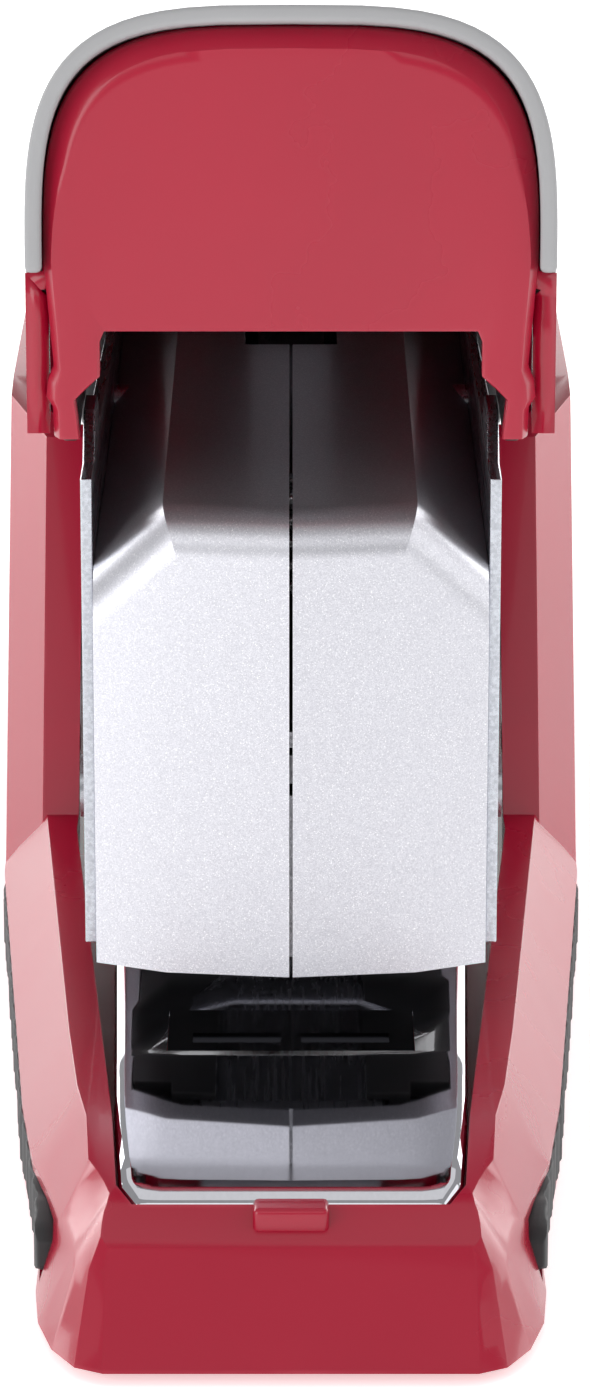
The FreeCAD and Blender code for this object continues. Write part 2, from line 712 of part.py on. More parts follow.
def make_striker():
    body = new_body("striker")
    blade = rectangle(f"-{STRIKER_HALF}", STRIKER_HALF, "striker_low", "striker_high")
    rear = "striker_front_y + striker_thick"
    add(body, "XZ_Plane", blade, "striker_front_y", rear)
    window = rectangle("-lever_half - 0.6", "lever_half + 0.6",
                       "lever_tip_z - 1.7", "lever_tip_z + 1.7")
    cut(body, "XZ_Plane", window, "striker_front_y - 1", f"{rear} + 1")


def make_lever():
    body = new_body("lever")
    profile = [("lever_tip_y", "lever_tip_z - 1"), ("lever_tip_y + 5", "lever_tip_z - 0.4"),
               ("lever_y", "lever_z - 3.4"), ("lever_y + 4", "lever_z - 1.5"),
               ("lever_end_y + 2", "lever_end_z - 1.5"), ("lever_end_y + 1.2", "lever_end_z + 1.4"),
               ("lever_end_y", "lever_end_z + 2"), ("lever_end_y - 1.4", "lever_end_z + 1.4"),
               ("lever_y - 1", "lever_z + 3.6"), ("lever_tip_y + 5", "lever_tip_z + 2.4"),
               ("lever_tip_y + 3", "lever_tip_z + 1.2"), ("lever_tip_y", "lever_tip_z + 1")]
    add(body, "YZ_Plane", profile, "-lever_half", "lever_half")
    bore(body, "YZ_Plane", ("lever_y", "lever_z"), "lever_pin_radius + run_gap", *ACROSS)


# The handle.

ROOF_SLOPE = "(handle_top - handle_rear_top) / (handle_rear_y - handle_front_y)"
# Points round the shoulder: how far in from the side and how far down from the roof.
SHOULDER = [(0, 17.4), (0.6, 10), (2, 5.4), (4.6, 2.4), (8.4, 0.9)]


def roof_at(y):
    return f"(handle_top - (({y}) - handle_front_y) * {ROOF_SLOPE})"


def shoulder(side, roof):
    """The rounded shoulder and the nearly flat top, from the side to the middle."""
    return [(f"{side} - {inset}", f"{roof} - {drop}") for inset, drop in SHOULDER] + [("1", roof)]


def handle_section(y, half, inset, drop):
    """The handle across at y, with upright sides below its shoulder."""
    side = f"({half} - {inset})"
    return both_sides([(side, "lift_spring_y - 14")] + shoulder(side, f"({roof_at(y)} - {drop})"))


def handle_loft(label, front, rear, inset, drop):
    body = new_body(label, kept=False)
    places = [(front, HANDLE_HALF), ("handle_full_y", HANDLE_REAR_HALF),
              (f"taper_y - {inset}", HANDLE_REAR_HALF), (rear, HANDLE_TAIL_HALF)]
    loft(body, "XZ_Plane", [(y, handle_section(y, half, inset, drop)) for y, half in places])
    return body


def make_handle():
    """The shell is the outer loft less the core and the pad's seat; the pad fills that seat."""
    outer = handle_loft("handle_outer", "pad_front_y", "handle_rear_y", "0", "0")
    core = handle_loft("handle_core", "pad_front_y - 2", "handle_rear_y - handle_wall",
                       "handle_wall", "handle_roof")
    under = [("pad_front_y - 5", FAR_DOWN), ("pad_front_y - 5", LEG_BOTTOM), ("handle_front_y", LEG_BOTTOM),
             ("handle_full_y", "flank_bottom"), ("skirt_front_y", "flank_bottom"),
             ("skirt_front_y", "skirt_bottom"), ("handle_rear_y + 5", "skirt_bottom"),
             ("handle_rear_y + 5", FAR_DOWN)]
    cut(outer, "YZ_Plane", under, *ACROSS)
    for side in (-1, 1):
        bore(outer, "YZ_Plane", ("hinge_y", "hinge_z"), "pin_radius + run_gap",
             *sided(side, "nose_flat_half", FAR_OUT))
    hollow = boolean("Part::Cut", "handle_hollow", outer, core, kept=False)
    seat = new_body("pad_seat", kept=False)
    lower_rear = f"{roof_at('pad_rear_y')} - pad_drop"
    zone = [("pad_front_y", PAD_TIP), ("handle_front_y + 0.5", PAD_TIP),
            ("pad_rear_y - 4", f"{lower_rear} + 1"), ("pad_rear_y", f"{lower_rear} + 4"),
            ("pad_rear_y", FAR_UP), ("pad_front_y", FAR_UP)]
    add(seat, "YZ_Plane", zone, *ACROSS)
    bands = []
    for label, depth in (("under_pad", "pad_thick"), ("under_seat", "(pad_thick + fit_gap)")):
        under_it = handle_loft(label, "pad_front_y - 1", "handle_rear_y", depth, depth)
        bands.append(boolean("Part::Cut", f"{label}_band", seat, under_it, kept=False))
    boolean("Part::Common", "handle_pad", outer, bands[0])
    front = new_body("handle_front_room", kept=False)
    room = rectangle("pad_front_y - 5", "handle_front_y", FAR_DOWN, FAR_UP)
    add(front, "YZ_Plane", room, *ACROSS)
    unseated = boolean("Part::Cut", "handle_unseated", hollow, bands[1], kept=False)
    boolean("Part::Cut", "handle_shell", unseated, front)


def make_face_plate():
    body = new_body("face_plate")
    half = f"({HANDLE_HALF} - pad_thick - 0.1)"
    opening = f"({HANDLE_HALF} - leg_width)"
    legs = [(opening, "handle_top - face_open_drop"), (f"{opening} + 0.5", LEG_BOTTOM),
            (f"{half} + 0.1", LEG_BOTTOM), (f"{half} + 0.5", f"{LEG_BOTTOM} + 3"),
            (f"{half} + 0.1", f"{LEG_BOTTOM} + 5"), (f"{half} + 0.9", f"{PAD_TIP} - 0.1"), (half, PAD_TIP)]
    outline = both_sides(legs + shoulder(half, "(handle_top - pad_thick - 0.1)")[1:])
    add(body, "XZ_Plane", outline, "handle_front_y - face_thick", "handle_front_y")


def make_stiffener():
    body = new_body("handle_stiffener")
    front, rear = "handle_front_y + 4", "stiffener_rear_y"
    top = [(y, f"{roof_at(y)} - handle_roof - 1.1") for y in (front, rear)]
    under = [(y, f"{z} - stiffener_thick") for y, z in reversed(top)]
    add(body, "YZ_Plane", top + under, "-stiffener_half", "stiffener_half")
    contact = "lever_end_z + 2.9"
    tab = [("lever_end_y - 4", contact), ("lever_end_y + 8", contact),
           ("lever_end_y + 11", f"{roof_at('lever_end_y + 11')} - handle_roof - 1.6"),
           ("lever_end_y - 6", f"{roof_at('lever_end_y - 6')} - handle_roof - 1.6")]
    add(body, "YZ_Plane", tab, "-lever_half - 0.5", "lever_half + 0.5")


def make_springs():
    coil("lift_spring", ("0", "lift_spring_y"), "floor_top", "nose_bottom - 0.1",
         "track_half + spring_ledge", "heavy_wire", 5)
    coil("power_spring", ("0", "lever_y - power_spring_run"), "lever_z + 0.7", "nose_top - roof_thick",
         "power_spring_radius", "heavy_wire", 5)
    top = f"{roof_at('handle_spring_y + 4')} - handle_roof - 1.2"
    coil("handle_spring", ("0", "handle_spring_y"), "nose_top", top, "handle_spring_radius", "middle_wire", 5)
    coil("pusher_spring", ("0", "rod_height"), f"{STRIP_REAR} + pusher_length + 0.6", "track_rear_y - 6.1",
         "pusher_spring_radius", "fine_wire", 20, along_y=True)


def check_solids():
    """Every object has recomputed, every cut has taken something away, and every piece is solid."""
    for item in doc.Objects:
        if {"Invalid", "Error"} & set(item.State):
            raise RuntimeError(f"{item.Label} did not recompute: {item.State}")
        if item.TypeId in ("PartDesign::Pocket", "PartDesign::SubtractiveLoft"):
            if item.Shape.Volume >= item.BaseFeature.Shape.Volume - 1e-6:
                raise RuntimeError(f"{item.Label} cuts nothing")
    for piece in PIECES:
        if piece.Shape.isNull() or not piece.Shape.isValid() or not piece.Shape.Solids:
            raise RuntimeError(f"{piece.Label} has no valid solid")


make_base_shell()
make_feet()
make_grips()
make_base_plate()
make_anvil()
make_base_screws()
make_base_bracket()
make_body_pin()
make_housing_shell("left_housing", -1)
make_housing_shell("right_housing", 1)
make_frame("left_frame", -1)
make_frame("right_frame", 1)
make_housing_screws()
make_lever_pin()
make_handle_pin()
make_track_guide()
make_staple_track()
make_staple_strip()
make_spring_rod()
make_track_pull()
make_pusher()
make_striker()
make_lever()
make_handle()
make_face_plate()
make_stiffener()
make_springs()
doc.recompute()
check_solids()

os.makedirs("parts", exist_ok=True)
for piece in PIECES:
    piece.Shape.exportStep(f"parts/{piece.Label}.step")
    box = piece.Shape.BoundBox
    low_high = zip("xyz", (box.XMin, box.YMin, box.ZMin), (box.XMax, box.YMax, box.ZMax))
    extent = "  ".join(f"{axis} {low:.1f}..{high:.1f}" for axis, low, high in low_high)
    print(f"{piece.Label:18s} {len(piece.Shape.Solids)} solid(s) {piece.Shape.Volume:9.1f} mm3  {extent}")
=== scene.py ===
# %% [markdown]
# # A low-force desktop stapler
# The steel, pins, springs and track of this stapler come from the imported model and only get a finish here.
# The moulded shells, the soft grip and the polished plate are what the eye rests on, so each is made again
# as its own mesh, in the place its plain solid holds.

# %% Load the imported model
import bpy
import bmesh
import json
from math import copysign, cos, sin, pi, radians
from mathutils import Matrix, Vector


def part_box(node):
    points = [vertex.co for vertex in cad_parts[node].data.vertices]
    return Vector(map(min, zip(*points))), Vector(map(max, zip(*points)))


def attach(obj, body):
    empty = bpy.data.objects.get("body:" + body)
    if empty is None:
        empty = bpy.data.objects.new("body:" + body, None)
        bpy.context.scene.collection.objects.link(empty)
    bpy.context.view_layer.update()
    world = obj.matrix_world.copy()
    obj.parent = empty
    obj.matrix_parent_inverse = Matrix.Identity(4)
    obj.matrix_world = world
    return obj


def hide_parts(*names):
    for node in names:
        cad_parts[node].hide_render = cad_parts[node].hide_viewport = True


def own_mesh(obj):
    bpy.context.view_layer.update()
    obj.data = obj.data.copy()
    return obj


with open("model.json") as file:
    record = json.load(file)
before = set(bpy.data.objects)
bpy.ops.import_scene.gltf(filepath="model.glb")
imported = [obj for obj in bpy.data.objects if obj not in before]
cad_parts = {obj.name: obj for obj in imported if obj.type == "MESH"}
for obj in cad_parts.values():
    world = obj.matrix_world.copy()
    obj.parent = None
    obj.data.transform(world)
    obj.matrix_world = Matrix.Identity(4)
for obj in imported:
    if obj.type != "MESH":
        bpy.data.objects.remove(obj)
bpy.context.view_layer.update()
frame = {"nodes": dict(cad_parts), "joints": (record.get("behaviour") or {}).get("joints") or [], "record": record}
MM = 0.001

# %% Places read from the model
BODY_OF = {node: body for body, nodes in frame["record"]["behaviour"]["bodies"].items() for node in nodes}
SLOT_OF = {part["node"]: part["material_slot"] for part in frame["record"]["subparts"]}
HINGES = {joint["name"]: joint for joint in frame["joints"]}
print("nodes:", len(BODY_OF))

# %% [markdown]
# ## Camera
# The stapler is looked at from the front and a little above, from close by, so the nose and the toe of
# the base look much larger than the rear. A long lens on a near camera gives that view.

# %% Camera
PITCH = radians(17)
CAMERA_PLACE = (0, -0.3958, 0.1414)
LENS, SENSOR = 137.67, 36
camera = bpy.data.objects.new("camera", bpy.data.cameras.new("camera"))
bpy.context.scene.collection.objects.link(camera)
camera.location = CAMERA_PLACE
camera.rotation_euler = (pi / 2 - PITCH, 0, 0)
camera.data.sensor_width, camera.data.lens = SENSOR, LENS
camera.data.shift_x = 0.0029
camera.data.clip_start = 0.01
bpy.context.scene.camera = camera
bpy.context.scene.view_settings.view_transform = "Standard"
print("camera at", CAMERA_PLACE)

# %% [markdown]
# ## Studio
# A pale floor and large soft lights. A glossy flank seen almost edge on mirrors what is behind it, so the
# boxes behind the stapler, out of sight, draw the pale streaks on its sides. The lights in front are
# weaker, and the left one is the stronger, so that the two sides of the silver nose differ.

# %% Floor
def plain_material(name, color, roughness, emission=0.0):
    """A one-colour material for the stage."""
    material = bpy.data.materials.new(name)
    material.use_nodes = True
    shader = material.node_tree.nodes["Principled BSDF"]
    shader.inputs["Base Color"].default_value = (*color, 1)
    shader.inputs["Roughness"].default_value = roughness
    shader.inputs["Emission Color"].default_value = (*color, 1)
    shader.inputs["Emission Strength"].default_value = emission
    return material


FLOOR_REACH = 15
floor_mesh = bpy.data.meshes.new("floor")
floor_form = bmesh.new()
bmesh.ops.create_grid(floor_form, x_segments=1, y_segments=1, size=FLOOR_REACH)
floor_form.to_mesh(floor_mesh)
floor_form.free()
floor = bpy.data.objects.new("floor", floor_mesh)
bpy.context.scene.collection.objects.link(floor)
floor_mesh.materials.append(plain_material("floor", (0.93, 0.93, 0.93), 0.9, 0.55))
print("floor reaches", FLOOR_REACH, "m each way")

# %% Lights
CENTRE = (0, -0.02, 0.04)
SOFT_LIGHTS = {
    "over_camera": ((0.0, -0.75, 0.55), 0.7, 0.4, 0.8),
    "left_wall": ((-0.6, -0.6, 0.25), 0.5, 0.6, 2.6),
    "right_wall": ((0.7, -0.15, 0.3), 0.5, 0.6, 1.0),
    "left_behind": ((-0.75, 0.72, 0.3), 0.8, 0.7, 6.5),
    "right_behind": ((0.75, 0.72, 0.3), 0.8, 0.7, 5.5),
    "far_behind": ((0.0, 1.7, 0.4), 1.7, 0.6, 5.0),
    "top": ((0.0, 0.15, 0.9), 0.8, 0.8, 1.0),
}


def soft_light(name, place, width, height, power):
    """A rectangular area light that faces the stapler."""
    data = bpy.data.lights.new(name, "AREA")
    data.shape = "RECTANGLE"
    data.size, data.size_y, data.energy = width, height, power
    light = bpy.data.objects.new(name, data)
    light.location = place
    light.rotation_euler = (Vector(CENTRE) - Vector(place)).to_track_quat("-Z", "Y").to_euler()
    bpy.context.scene.collection.objects.link(light)


for name, settings in SOFT_LIGHTS.items():
    soft_light(name, *settings)
print("soft lights:", len(SOFT_LIGHTS))

# %% Surround
WORLD_STRENGTH = 0.42
world = bpy.data.worlds.new("studio")
world.use_nodes = True
world.node_tree.nodes["Background"].inputs["Color"].default_value = (1, 1, 1, 1)
world.node_tree.nodes["Background"].inputs["Strength"].default_value = WORLD_STRENGTH
bpy.context.scene.world = world
print("surround strength:", WORLD_STRENGTH)

# %% [markdown]
# ## Shared effects
# A finish is more than its colour. Edges rub bright or pale, moulded plastic has a fine grain, and gloss
# is never quite even. Each effect is one node group, so every material can use it with its own values.

# %% Node helpers
def new_group(name, sockets_in, sockets_out):
    """A shader node group with its interface, its input node and its output node."""
    group = bpy.data.node_groups.new(name, "ShaderNodeTree")
    for socket, kind, value in sockets_in:
        item = group.interface.new_socket(socket, in_out="INPUT", socket_type=kind)
        if value is not None:
            item.default_value = value
    for socket, kind in sockets_out:
        group.interface.new_socket(socket, in_out="OUTPUT", socket_type=kind)
    return group, group.nodes.new("NodeGroupInput"), group.nodes.new("NodeGroupOutput")


def link(tree, source, target):
    """Joins one node's output to another's input."""
    tree.links.new(source, target)


def node(tree, kind, **values):
    """A node with properties set by name and inputs set by 'input_' and a number."""
    made = tree.nodes.new(kind)
    for key, value in values.items():
        if key.startswith("input_"):
            made.inputs[int(key[6:])].default_value = value
        else:
            setattr(made, key, value)
    return made


def ramp(tree, source, low, high, first=0.0, last=1.0):
    """Maps a value range to another, clamped."""
    mapped = node(tree, "ShaderNodeMapRange", input_1=low, input_2=high, input_3=first, input_4=last)
    link(tree, source, mapped.inputs[0])
    return mapped.outputs[0]

# %% [markdown]
# ### Edge wear
# A bevelled normal leaves the true one only near an edge. How far they differ is a mask of the edges,
# and noise breaks it up so that the wear comes and goes.

# %% Edge wear group
edge_wear, wear_in, wear_out = new_group(
    "edge_wear",
    [("Width", "NodeSocketFloat", 0.0004), ("Patch Scale", "NodeSocketFloat", 160.0),
     ("Amount", "NodeSocketFloat", 0.5)],
    [("Mask", "NodeSocketFloat")])
rounded = node(edge_wear, "ShaderNodeBevel", samples=4)
link(edge_wear, wear_in.outputs["Width"], rounded.inputs["Radius"])
true_normal = node(edge_wear, "ShaderNodeNewGeometry")
agreement = node(edge_wear, "ShaderNodeVectorMath", operation="DOT_PRODUCT")
link(edge_wear, rounded.outputs[0], agreement.inputs[0])
link(edge_wear, true_normal.outputs["Normal"], agreement.inputs[1])
edges = ramp(edge_wear, agreement.outputs["Value"], 0.995, 0.90)
place = node(edge_wear, "ShaderNodeTexCoord")
patches = node(edge_wear, "ShaderNodeTexNoise", input_3=3.0)
link(edge_wear, place.outputs["Object"], patches.inputs["Vector"])
link(edge_wear, wear_in.outputs["Patch Scale"], patches.inputs["Scale"])
broken = ramp(edge_wear, patches.outputs[0], 0.42, 0.68)
worn = node(edge_wear, "ShaderNodeMath", operation="MULTIPLY")
link(edge_wear, edges, worn.inputs[0])
link(edge_wear, broken, worn.inputs[1])
scaled = node(edge_wear, "ShaderNodeMath", operation="MULTIPLY", use_clamp=True)
link(edge_wear, worn.outputs[0], scaled.inputs[0])
link(edge_wear, wear_in.outputs["Amount"], scaled.inputs[1])
link(edge_wear, scaled.outputs[0], wear_out.inputs["Mask"])
print("edge_wear:", len(edge_wear.nodes), "nodes")

# %% [markdown]
# ### Grain and smudges
# Fine noise is the texture of the mould. Broad noise is where fingers have been: it moves the roughness
# a little, so that a highlight is never one flat shape.

# %% Grain group
grain, grain_in, grain_out = new_group(
    "grain",
    [("Fine Scale", "NodeSocketFloat", 3000.0), ("Broad Scale", "NodeSocketFloat", 60.0)],
    [("Fine", "NodeSocketFloat"), ("Broad", "NodeSocketFloat")])
place = node(grain, "ShaderNodeTexCoord")
for label, detail in (("Fine", 2.0), ("Broad", 5.0)):
    noise = node(grain, "ShaderNodeTexNoise", input_3=detail)
    link(grain, place.outputs["Object"], noise.inputs["Vector"])
    link(grain, grain_in.outputs[f"{label} Scale"], noise.inputs["Scale"])
    link(grain, noise.outputs[0], grain_out.inputs[label])
print("grain:", len(grain.nodes), "nodes")

# %% [markdown]
# ### Flakes
# Silver paint holds tiny metal flakes. Each cell of a fine Voronoi pattern is a flake with its own
# brightness and its own lean, so a few of them flash.

# %% Flake group
flakes, flakes_in, flakes_out = new_group(
    "flakes",
    [("Scale", "NodeSocketFloat", 5200.0)],
    [("Tone", "NodeSocketFloat"), ("Flash", "NodeSocketFloat")])
place = node(flakes, "ShaderNodeTexCoord")
cells = node(flakes, "ShaderNodeTexVoronoi", feature="F1")
link(flakes, place.outputs["Object"], cells.inputs["Vector"])
link(flakes, flakes_in.outputs["Scale"], cells.inputs["Scale"])
lone = node(flakes, "ShaderNodeSeparateColor")
link(flakes, cells.outputs["Color"], lone.inputs[0])
link(flakes, lone.outputs[0], flakes_out.inputs["Tone"])
link(flakes, ramp(flakes, lone.outputs[1], 0.9, 1.0), flakes_out.inputs["Flash"])
print("flakes:", len(flakes.nodes), "nodes")

# %% [markdown]
# ### Brushing
# Rolled and ground steel has fine lines in one direction. Noise stretched along Y gives them.

# %% Brush group
brushing, brush_in, brush_out = new_group(
    "brushing",
    [("Across", "NodeSocketFloat", 4000.0), ("Along", "NodeSocketFloat", 90.0)],
    [("Lines", "NodeSocketFloat")])
place = node(brushing, "ShaderNodeTexCoord")
stretch = node(brushing, "ShaderNodeCombineXYZ")
for axis, socket in ((0, "Across"), (1, "Along"), (2, "Across")):
    link(brushing, brush_in.outputs[socket], stretch.inputs[axis])
lined = node(brushing, "ShaderNodeVectorMath", operation="MULTIPLY")
link(brushing, place.outputs["Object"], lined.inputs[0])
link(brushing, stretch.outputs[0], lined.inputs[1])
lines = node(brushing, "ShaderNodeTexNoise", input_2=1.0, input_3=3.0)
link(brushing, lined.outputs[0], lines.inputs["Vector"])
link(brushing, lines.outputs[0], brush_out.inputs["Lines"])
print("brushing:", len(brushing.nodes), "nodes")

# %% [markdown]
# ## Finishes
# Every material is a Principled shader. What is the same all over is set on its own socket, and what
# varies comes in from a group.

# %% Finish helpers
def new_finish(name, roughness, metallic=0.0, coat=0.0, coat_roughness=0.05, specular=0.5):
    """A material with its shader's plain values set."""
    material = bpy.data.materials.new(name)
    material.use_nodes = True
    tree = material.node_tree
    shader = tree.nodes["Principled BSDF"]
    shader.inputs["Roughness"].default_value = roughness
    shader.inputs["Metallic"].default_value = metallic
    shader.inputs["Coat Weight"].default_value = coat
    shader.inputs["Coat Roughness"].default_value = coat_roughness
    shader.inputs["Specular IOR Level"].default_value = specular
    return material, tree, shader


def place_group(tree, group, **values):
    """A group node with its inputs set; underscores in a name stand for spaces."""
    placed = tree.nodes.new("ShaderNodeGroup")
    placed.node_tree = group
    for key, value in values.items():
        placed.inputs[key.replace("_", " ")].default_value = value
    return placed


def blend_colors(tree, mask, first, second):
    """Mixes two colours, each a tuple or a socket, by a mask."""
    mix = tree.nodes.new("ShaderNodeMix")
    mix.data_type = "RGBA"
    link(tree, mask, mix.inputs[0])
    for index, color in ((6, first), (7, second)):
        if isinstance(color, tuple):
            mix.inputs[index].default_value = (*color, 1)
        else:
            link(tree, color, mix.inputs[index])
    return mix.outputs[2]


def add_bump(tree, shader, height, strength, distance):
    """Lets a height turn the shader's normal a little."""
    bump = node(tree, "ShaderNodeBump")
    bump.inputs["Strength"].default_value = strength
    bump.inputs["Distance"].default_value = distance
    link(tree, height, bump.inputs["Height"])
    link(tree, bump.outputs[0], shader.inputs["Normal"])

# %% Moulded plastic and rubber
def moulded(name, color, pale, roughness, spread, coat=0.0, fine=2600.0, depth=0.00001, wear=0.5):
    """Moulded plastic or rubber: fine grain, uneven gloss, and edges rubbed towards a paler tone."""
    material, tree, shader = new_finish(name, roughness, coat=coat)
    texture = place_group(tree, grain, Fine_Scale=fine, Broad_Scale=55.0)
    rubbed = place_group(tree, edge_wear, Width=0.0004, Amount=wear)
    deep = tuple(0.86 * part for part in color)
    toned = blend_colors(tree, ramp(tree, texture.outputs["Broad"], 0.15, 0.85), deep, color)
    link(tree, blend_colors(tree, rubbed.outputs["Mask"], toned, pale), shader.inputs["Base Color"])
    gloss = ramp(tree, texture.outputs["Broad"], 0.15, 0.85, roughness - spread, roughness + spread)
    link(tree, gloss, shader.inputs["Roughness"])
    add_bump(tree, shader, texture.outputs["Fine"], 0.35, depth)
    return material

# %% Steel
def steel(name, color, roughness, spread, depth=0.000006, across=4000.0, along=90.0, wear=0.6,
          low=0.8):
    """Worked steel: brushed lines as dark as low in its colour, and bright at rubbed edges."""
    material, tree, shader = new_finish(name, roughness, metallic=1.0)
    lines = place_group(tree, brushing, Across=across, Along=along)
    rubbed = place_group(tree, edge_wear, Width=0.00025, Amount=wear)
    dark = tuple(low * part for part in color)
    bright = tuple(min(1.0, 1.35 * part) for part in color)
    toned = blend_colors(tree, ramp(tree, lines.outputs[0], 0.3, 0.7), dark, color)
    link(tree, blend_colors(tree, rubbed.outputs["Mask"], toned, bright), shader.inputs["Base Color"])
    gloss = ramp(tree, lines.outputs[0], 0.3, 0.7, roughness + spread, roughness - spread)
    link(tree, gloss, shader.inputs["Roughness"])
    add_bump(tree, shader, lines.outputs[0], 0.4, depth)
    return material

# %% Silver paint
def silver_paint(name):
    """Silver paint with fine flakes under a clear coat."""
    material, tree, shader = new_finish(name, 0.36, metallic=0.85, coat=0.25, coat_roughness=0.12)
    flake = place_group(tree, flakes, Scale=16000.0)
    rubbed = place_group(tree, edge_wear, Width=0.0003, Amount=0.35)
    body = blend_colors(tree, flake.outputs["Tone"], (0.56, 0.56, 0.61), (0.70, 0.70, 0.75))
    flashed = blend_colors(tree, flake.outputs["Flash"], body, (0.9, 0.9, 0.93))
    link(tree, blend_colors(tree, rubbed.outputs["Mask"], flashed, (0.9, 0.9, 0.92)),
         shader.inputs["Base Color"])
    gloss = ramp(tree, flake.outputs["Tone"], 0.0, 1.0, 0.46, 0.3)
    link(tree, gloss, shader.inputs["Roughness"])
    add_bump(tree, shader, flake.outputs["Tone"], 0.15, 0.00001)
    return material

# %% One finish for each slot
RED = (0.41, 0.0005, 0.026)
RUBBED_RED = (0.5, 0.06, 0.09)
FINISHES = {
    "base_red": moulded("base_red", RED, RUBBED_RED, 0.26, 0.05, coat=0.2),
    "handle_red": moulded("handle_red", RED, RUBBED_RED, 0.24, 0.05, coat=0.25),
    "face_red": moulded("face_red", RED, RUBBED_RED, 0.28, 0.04, coat=0.15),
    "grip_grey": moulded("grip_grey", (0.40, 0.40, 0.41), (0.48, 0.48, 0.49), 0.8, 0.06,
                         fine=3600.0, depth=0.00003),
    "side_rubber": moulded("side_rubber", (0.022, 0.022, 0.024), (0.07, 0.07, 0.07), 0.6, 0.08,
                           depth=0.00003),
    "foot_rubber": moulded("foot_rubber", (0.02, 0.02, 0.02), (0.06, 0.06, 0.06), 0.75, 0.06,
                           depth=0.00003),
    "guide_black": moulded("guide_black", (0.012, 0.012, 0.013), (0.04, 0.04, 0.04), 0.4, 0.08),
    "pull_black": moulded("pull_black", (0.016, 0.016, 0.018), (0.06, 0.06, 0.06), 0.45, 0.08),
    "pusher_red": moulded("pusher_red", (0.35, 0.03, 0.03), (0.5, 0.15, 0.14), 0.4, 0.06),
    "nose_silver": silver_paint("nose_silver"),
    "frame_steel": steel("frame_steel", (0.56, 0.58, 0.63), 0.28, 0.07),
    "plate_steel": steel("plate_steel", (0.62, 0.62, 0.66), 0.05, 0.004, depth=0.0000001, wear=0.2, low=0.96),
    # Painted shade: the anvil's steel gets a dark colour so that it and its grooves under the nose read as shaded.
    "anvil_steel": steel("anvil_steel", (0.16, 0.16, 0.18), 0.10, 0.005, depth=0.0000001, wear=0.25,
                         low=0.94),
    "bracket_steel": steel("bracket_steel", (0.5, 0.51, 0.54), 0.35, 0.08),
    "pin_steel": steel("pin_steel", (0.62, 0.62, 0.65), 0.22, 0.06),
    "screw_steel": steel("screw_steel", (0.45, 0.45, 0.48), 0.3, 0.08),
    "spring_steel": steel("spring_steel", (0.5, 0.5, 0.52), 0.25, 0.06),
    "track_steel": steel("track_steel", (0.58, 0.58, 0.61), 0.25, 0.06),
    "staple_steel": steel("staple_steel", (0.68, 0.68, 0.71), 0.3, 0.06, across=150.0, along=3500.0),
    "striker_steel": steel("striker_steel", (0.45, 0.45, 0.48), 0.3, 0.06),
    "lever_steel": steel("lever_steel", (0.4, 0.4, 0.43), 0.35, 0.08),
    "stiffener_steel": steel("stiffener_steel", (0.35, 0.35, 0.38), 0.4, 0.08),
}
for name, made in frame["nodes"].items():
    made.data.materials.clear()
    made.data.materials.append(FINISHES[SLOT_OF[name]])
print("finishes:", len(FINISHES))

# %% [markdown]
# ## Shells made from a copy of their solid
# Where the solid already has the right facets, a merged copy of its mesh is the quickest true start. Its
# flat faces are dissolved into single faces, and a small bevel rounds every sharp edge, which is what
# catches the light on a moulded part. Weighted normals then keep the large faces flat to the light.

# %% Finishing a piece
def finish_piece(name, form, body, slot, *replaced, smooth=radians(30)):
    """Turns a bmesh into an object with its finish, its body and the node it stands for."""
    mesh = bpy.data.meshes.new(name)
    form.to_mesh(mesh)
    form.free()
    piece = bpy.data.objects.new(name, mesh)
    bpy.context.scene.collection.objects.link(piece)
    mesh.materials.append(FINISHES[slot])
    mesh.shade_smooth()
    mesh.set_sharp_from_angle(angle=smooth)
    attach(piece, body)
    if replaced:
        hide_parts(*replaced)
    print(name, len(mesh.polygons), "faces")
    return piece


def merged_copy(node_name):
    """The node's surface as one connected mesh with its flat faces whole."""
    form = bmesh.new()
    form.from_mesh(frame["nodes"][node_name].data)
    bmesh.ops.remove_doubles(form, verts=form.verts, dist=0.000002)
    bmesh.ops.dissolve_limit(form, angle_limit=radians(0.6), verts=form.verts, edges=form.edges,
                             use_dissolve_boundaries=False)
    return form


def bevel_sharp(form, width, segments=3, angle=radians(24)):
    """Rounds every edge that turns by more than an angle."""
    sharp = [edge for edge in form.edges if edge.is_manifold and edge.calc_face_angle() > angle]
    bmesh.ops.bevel(form, geom=sharp, offset=width, offset_type="OFFSET", segments=segments, profile=0.5,
                    affect="EDGES", clamp_overlap=True, material=-1)


def flat_shaded(piece):
    """Keeps the large faces evenly lit and lets only the rounds turn the light."""
    weighted = piece.modifiers.new("even_light", "WEIGHTED_NORMAL")
    weighted.weight, weighted.keep_sharp = 100, True
    return piece


def refined(name, node_name, width, segments=3, angle=radians(24)):
    """A copy of a node with its sharp edges rounded, which stands for it."""
    form = merged_copy(node_name)
    bevel_sharp(form, width, segments, angle)
    return flat_shaded(finish_piece(name, form, BODY_OF[node_name], SLOT_OF[node_name], node_name))

# %% [markdown]
# ### Nose
# The silver nose is two halves with a seam. Its front turns into its roof in one broad soft round, where
# the light fades slowly into the dark under the handle. Only those few edges get the broad bevel, and
# their shared corner is merged first, because a very short edge would hold the bevel back.

# %% Nose halves
NOSE_BACK, BROW_LOW, BROW_ROUND = -45 * MM, 43.5 * MM, 3 * MM
PEAK_BACK, PEAK_LOW, PEAK_MERGE = -52.5 * MM, 49.3 * MM, 0.15 * MM


def is_brow(edge):
    """Whether an edge of the nose lies between its upright front and its roof."""
    if not edge.is_manifold or edge.calc_face_angle() <= radians(15):
        return False
    rises = [face.normal.z for face in edge.link_faces]
    return (max(vert.co.y for vert in edge.verts) < NOSE_BACK
            and min(vert.co.z for vert in edge.verts) > BROW_LOW
            and max(rises) > 0.3 and abs(min(rises)) < 0.3
            and max(face.normal.y for face in edge.link_faces) < 0.3)


